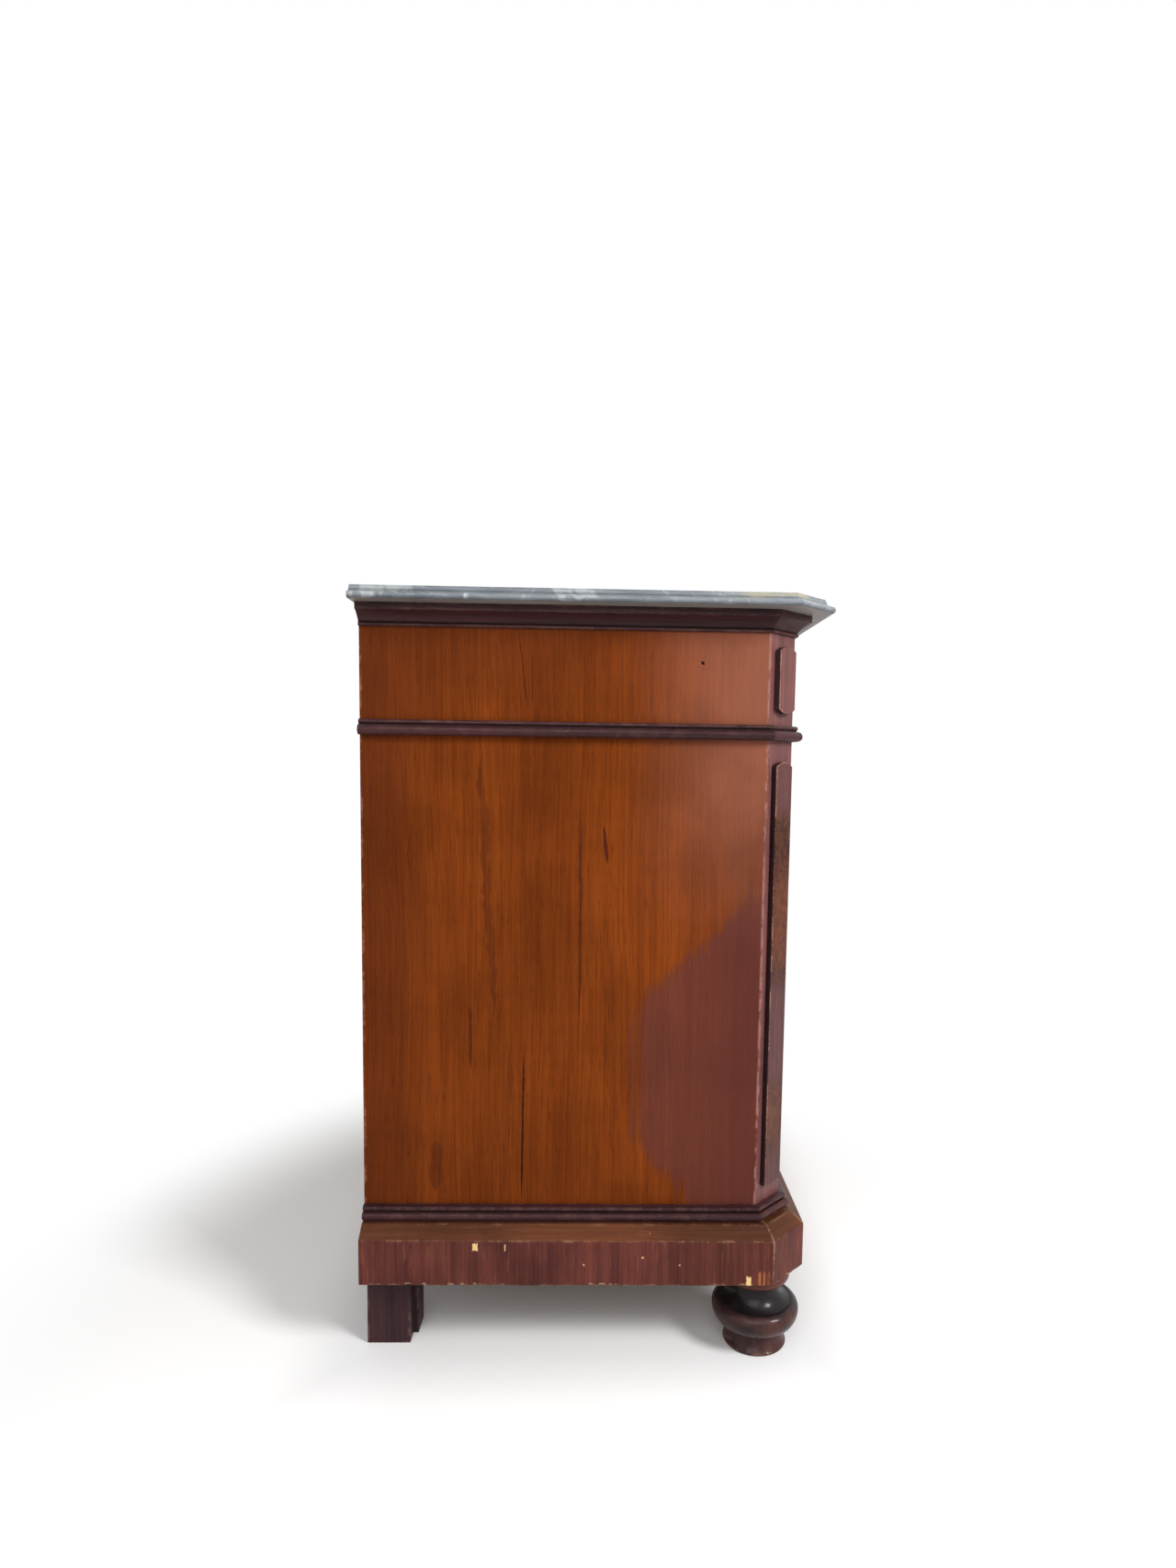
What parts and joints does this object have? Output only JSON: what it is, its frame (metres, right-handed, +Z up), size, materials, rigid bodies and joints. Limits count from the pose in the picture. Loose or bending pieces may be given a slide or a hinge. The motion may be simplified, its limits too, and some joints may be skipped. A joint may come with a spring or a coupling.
{
  "type": "chest of drawers",
  "caption": "Walnut chest of drawers with marble top, canted front corners with pilasters, moulded plinth, turned front feet and locking drawers",
  "frame": {"origin": "on the floor, under the middle of the marble top", "axes": "+X to the right seen from the front, -Y towards the front (the drawers open that way), +Z up"},
  "size_m": [1.27, 0.608, 1.003],
  "materials": {
    "marble": "honed grey-blue marble with pale veins, worn at the edge",
    "dark_moulding": "dark stained walnut, shellac polish",
    "plinth_walnut": "red-brown walnut veneer, worn polish",
    "side_walnut": "orange-brown walnut, upright grain, satin shellac",
    "corner_walnut": "walnut veneer, satin shellac",
    "burl_veneer": "figured walnut veneer, satin shellac",
    "foot_wood": "turned wood, dark gloss polish",
    "rear_foot_wood": "dull dark stain",
    "drawer_walnut": "book-matched walnut veneer, satin shellac",
    "drawer_poplar": "bare planed poplar",
    "carcass_poplar": "bare aged poplar",
    "lock_iron": "dark iron",
    "key_steel": "worn steel",
    "escutcheon_brass": "old brass"
  },
  "bodies": {
    "carcass": {"back_boards": "carcass_poplar", "base_moulding_front": "dark_moulding", "base_moulding_returns": "dark_moulding", "bottom_boards": "carcass_poplar", "corner_pilasters": "burl_veneer", "corner_post_left": "corner_walnut", "corner_post_right": "corner_walnut", "corner_tablets": "burl_veneer", "cornice_front": "dark_moulding", "cornice_returns": "dark_moulding", "drawer_rails": "carcass_poplar", "drawer_runners": "carcass_poplar", "drawer_stops": "carcass_poplar", "front_foot_left": "foot_wood", "front_foot_right": "foot_wood", "marble_top": "marble", "plinth_back": "carcass_poplar", "plinth_front": "plinth_walnut", "plinth_left": "plinth_walnut", "plinth_right": "plinth_walnut", "rear_foot_blocks": "rear_foot_wood", "rear_foot_left": "rear_foot_wood", "rear_foot_right": "rear_foot_wood", "side_left": "side_walnut", "side_right": "side_walnut", "top_rails": "carcass_poplar", "waist_moulding_front": "dark_moulding", "waist_moulding_returns": "dark_moulding"},
    "drawer_1": {"drawer_1_back": "drawer_poplar", "drawer_1_bottom": "drawer_poplar", "drawer_1_escutcheon": "escutcheon_brass", "drawer_1_front": "drawer_walnut", "drawer_1_lock": "lock_iron", "drawer_1_sides": "drawer_poplar"},
    "key_1": {"drawer_1_key": "key_steel"},
    "bolt_1": {"drawer_1_bolt": "lock_iron"},
    "drawer_2": {"drawer_2_back": "drawer_poplar", "drawer_2_bottom": "drawer_poplar", "drawer_2_escutcheon": "escutcheon_brass", "drawer_2_front": "drawer_walnut", "drawer_2_lock": "lock_iron", "drawer_2_sides": "drawer_poplar"},
    "key_2": {"drawer_2_key": "key_steel"},
    "bolt_2": {"drawer_2_bolt": "lock_iron"},
    "drawer_3": {"drawer_3_back": "drawer_poplar", "drawer_3_bottom": "drawer_poplar", "drawer_3_escutcheon": "escutcheon_brass", "drawer_3_front": "drawer_walnut", "drawer_3_lock": "lock_iron", "drawer_3_sides": "drawer_poplar"},
    "key_3": {"drawer_3_key": "key_steel"},
    "bolt_3": {"drawer_3_bolt": "lock_iron"},
    "drawer_4": {"drawer_4_back": "drawer_poplar", "drawer_4_bottom": "drawer_poplar", "drawer_4_escutcheon": "escutcheon_brass", "drawer_4_front": "drawer_walnut", "drawer_4_lock": "lock_iron", "drawer_4_sides": "drawer_poplar"},
    "key_4": {"drawer_4_key": "key_steel"},
    "bolt_4": {"drawer_4_bolt": "lock_iron"}
  },
  "joints": [
    {"name": "drawer_1_slide", "type": "slide", "parent": "carcass", "child": "drawer_1", "axis": [0, -1, 0], "range_m": [0, 0.4]},
    {"name": "key_1_turn", "type": "hinge", "parent": "drawer_1", "child": "key_1", "pos_m": [0, -0.259, 0.931], "axis": [0, 1, 0], "range_deg": [0, 360]},
    {"name": "bolt_1_throw", "type": "slide", "parent": "drawer_1", "child": "bolt_1", "axis": [0, 0, 1], "range_m": [0, 0.008]},
    {"name": "drawer_2_slide", "type": "slide", "parent": "carcass", "child": "drawer_2", "axis": [0, -1, 0], "range_m": [0, 0.4]},
    {"name": "key_2_turn", "type": "hinge", "parent": "drawer_2", "child": "key_2", "pos_m": [0, -0.259, 0.795], "axis": [0, 1, 0], "range_deg": [0, 360]},
    {"name": "bolt_2_throw", "type": "slide", "parent": "drawer_2", "child": "bolt_2", "axis": [0, 0, 1], "range_m": [0, 0.008]},
    {"name": "drawer_3_slide", "type": "slide", "parent": "carcass", "child": "drawer_3", "axis": [0, -1, 0], "range_m": [0, 0.4]},
    {"name": "key_3_turn", "type": "hinge", "parent": "drawer_3", "child": "key_3", "pos_m": [0, -0.259, 0.582], "axis": [0, 1, 0], "range_deg": [0, 360]},
    {"name": "bolt_3_throw", "type": "slide", "parent": "drawer_3", "child": "bolt_3", "axis": [0, 0, 1], "range_m": [0, 0.008]},
    {"name": "drawer_4_slide", "type": "slide", "parent": "carcass", "child": "drawer_4", "axis": [0, -1, 0], "range_m": [0, 0.4]},
    {"name": "key_4_turn", "type": "hinge", "parent": "drawer_4", "child": "key_4", "pos_m": [0, -0.259, 0.369], "axis": [0, 1, 0], "range_deg": [0, 360]},
    {"name": "bolt_4_throw", "type": "slide", "parent": "drawer_4", "child": "bolt_4", "axis": [0, 0, 1], "range_m": [0, 0.008]}
  ],
  "couplings": [
    {"joint": "key_1_turn", "follows": "bolt_1_throw", "rad_per_m": 785.4},
    {"joint": "key_2_turn", "follows": "bolt_2_throw", "rad_per_m": 785.4},
    {"joint": "key_3_turn", "follows": "bolt_3_throw", "rad_per_m": 785.4},
    {"joint": "key_4_turn", "follows": "bolt_4_throw", "rad_per_m": 785.4}
  ]
}
